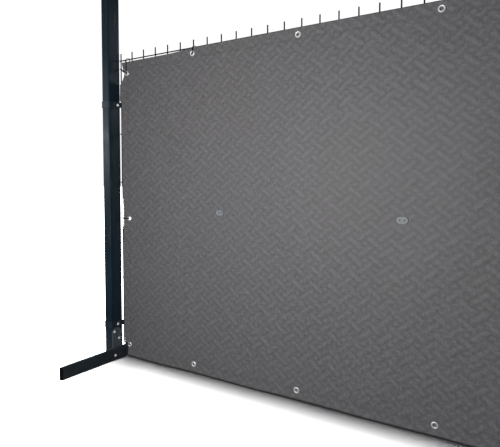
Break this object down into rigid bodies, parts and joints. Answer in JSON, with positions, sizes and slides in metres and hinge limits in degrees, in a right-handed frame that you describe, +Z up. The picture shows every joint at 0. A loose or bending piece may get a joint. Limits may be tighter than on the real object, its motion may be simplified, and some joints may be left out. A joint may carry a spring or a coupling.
{
  "type": "welding curtain screen",
  "caption": "Free-standing welding screen: a quilted fire-resistant curtain tied to a welded wire panel that is clamped between box-section posts standing on flat feet",
  "frame": {"origin": "on the floor, midway between the posts, in the plane through the middle of both posts", "axes": "+X along the screen, +Y away from the curtain's front, +Z up"},
  "size_m": [2.5866, 0.578, 1.8],
  "materials": {
    "post_paint": "dark blue-grey powder coat, satin",
    "bracket_paint": "dark blue-grey powder coat, satin",
    "clamp_paint": "dark powder coat, satin",
    "wire_coating": "dark grey powder coat over galvanised wire",
    "black_plastic": "moulded, matt",
    "bolt_steel": "zinc-plated",
    "curtain_fabric": "charcoal coated fabric, quilted in a basket pattern",
    "eyelet_metal": "nickel-plated, pressed",
    "tie_plastic": "nylon, black",
    "plate_plastic": "light grey, matt"
  },
  "bodies": {
    "stands": {"left_post": "post_paint", "left_post_cap": "black_plastic", "left_foot": "post_paint", "left_base_bracket": "bracket_paint", "left_foot_front_cap": "black_plastic", "left_foot_front_bolt": "bolt_steel", "left_foot_rear_cap": "black_plastic", "left_foot_rear_bolt": "bolt_steel", "left_bracket_bolt_1": "bolt_steel", "left_bracket_bolt_2": "bolt_steel", "right_post": "post_paint", "right_post_cap": "black_plastic", "right_foot": "post_paint", "right_base_bracket": "bracket_paint", "right_foot_front_cap": "black_plastic", "right_foot_front_bolt": "bolt_steel", "right_foot_rear_cap": "black_plastic", "right_foot_rear_bolt": "bolt_steel", "right_bracket_bolt_1": "bolt_steel", "right_bracket_bolt_2": "bolt_steel"},
    "panel": {"wire_panel": "wire_coating", "curtain": "curtain_fabric", "left_upper_clamp_strap": "clamp_paint", "left_upper_clamp_jaw": "clamp_paint", "left_upper_clamp_bolt": "bolt_steel", "left_lower_clamp_strap": "clamp_paint", "left_lower_clamp_jaw": "clamp_paint", "left_lower_clamp_bolt": "bolt_steel", "left_top_corner_eyelet": "eyelet_metal", "left_middle_eyelet": "eyelet_metal", "left_bottom_corner_eyelet": "eyelet_metal", "left_top_corner_ties": "tie_plastic", "left_middle_tie": "tie_plastic", "left_bottom_tie": "tie_plastic", "right_upper_clamp_strap": "clamp_paint", "right_upper_clamp_jaw": "clamp_paint", "right_upper_clamp_bolt": "bolt_steel", "right_lower_clamp_strap": "clamp_paint", "right_lower_clamp_jaw": "clamp_paint", "right_lower_clamp_bolt": "bolt_steel", "right_top_corner_eyelet": "eyelet_metal", "right_middle_eyelet": "eyelet_metal", "right_bottom_corner_eyelet": "eyelet_metal", "right_top_corner_ties": "tie_plastic", "right_middle_tie": "tie_plastic", "right_bottom_tie": "tie_plastic", "top_row_tie": "tie_plastic", "top_eyelet_1": "eyelet_metal", "bottom_eyelet_1": "eyelet_metal", "top_eyelet_2": "eyelet_metal", "bottom_eyelet_2": "eyelet_metal", "top_eyelet_3": "eyelet_metal", "bottom_eyelet_3": "eyelet_metal", "top_eyelet_4": "eyelet_metal", "bottom_eyelet_4": "eyelet_metal", "top_eyelet_5": "eyelet_metal", "bottom_eyelet_5": "eyelet_metal", "oval_plate_1": "plate_plastic", "oval_plate_2": "plate_plastic", "oval_plate_3": "plate_plastic"}
  },
  "joints": [
    {"name": "panel_height", "type": "slide", "parent": "stands", "child": "panel", "axis": [0, 0, 1], "range_m": [0, 0.5]}
  ]
}
